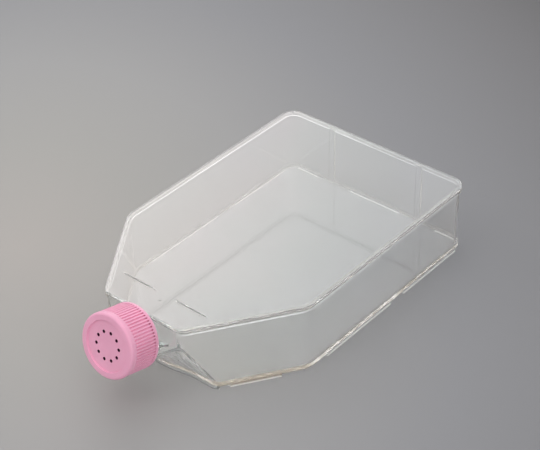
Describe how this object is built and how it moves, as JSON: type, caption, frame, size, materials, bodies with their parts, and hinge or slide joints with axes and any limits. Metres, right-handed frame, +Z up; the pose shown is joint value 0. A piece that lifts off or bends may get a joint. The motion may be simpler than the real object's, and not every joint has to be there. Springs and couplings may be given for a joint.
{
  "type": "cell culture flask",
  "caption": "Clear flat six-sided culture flask with a welded lid plate, a canted threaded neck and a pink ribbed vented screw cap.",
  "frame": {"origin": "on the table, under the middle of the flask's overall box, cap included", "axes": "+Z up; -Y towards the neck and cap; +Y towards the back wall; +X to the right as seen from the cap end"},
  "size_m": [0.136, 0.2408, 0.0564],
  "materials": {
    "body_styrene": "clear polystyrene, polished",
    "lid_styrene": "clear polystyrene, polished",
    "cap_plastic": "pink polyethylene, satin",
    "membrane": "white filter membrane, matt",
    "seal": "natural polyethylene, satin"
  },
  "bodies": {
    "flask": {"flask_body": "body_styrene", "top_plate": "lid_styrene"},
    "cap_insert": {"vent_membrane": "membrane", "seal_ring": "seal"},
    "cap": {"cap_shell": "cap_plastic"}
  },
  "joints": [
    {"name": "cap_travel", "type": "slide", "parent": "flask", "child": "cap_insert", "axis": [0, -0.9671, 0.2543], "range_m": [0, 0.005]},
    {"name": "cap_turn", "type": "hinge", "parent": "cap_insert", "child": "cap", "pos_m": [0, -0.08897, 0.0315], "axis": [0, -0.9671, 0.2543], "range_deg": [0, 450]}
  ],
  "couplings": [
    {"joint": "cap_travel", "follows": "cap_turn", "m_per_rad": 0.00063662}
  ]
}
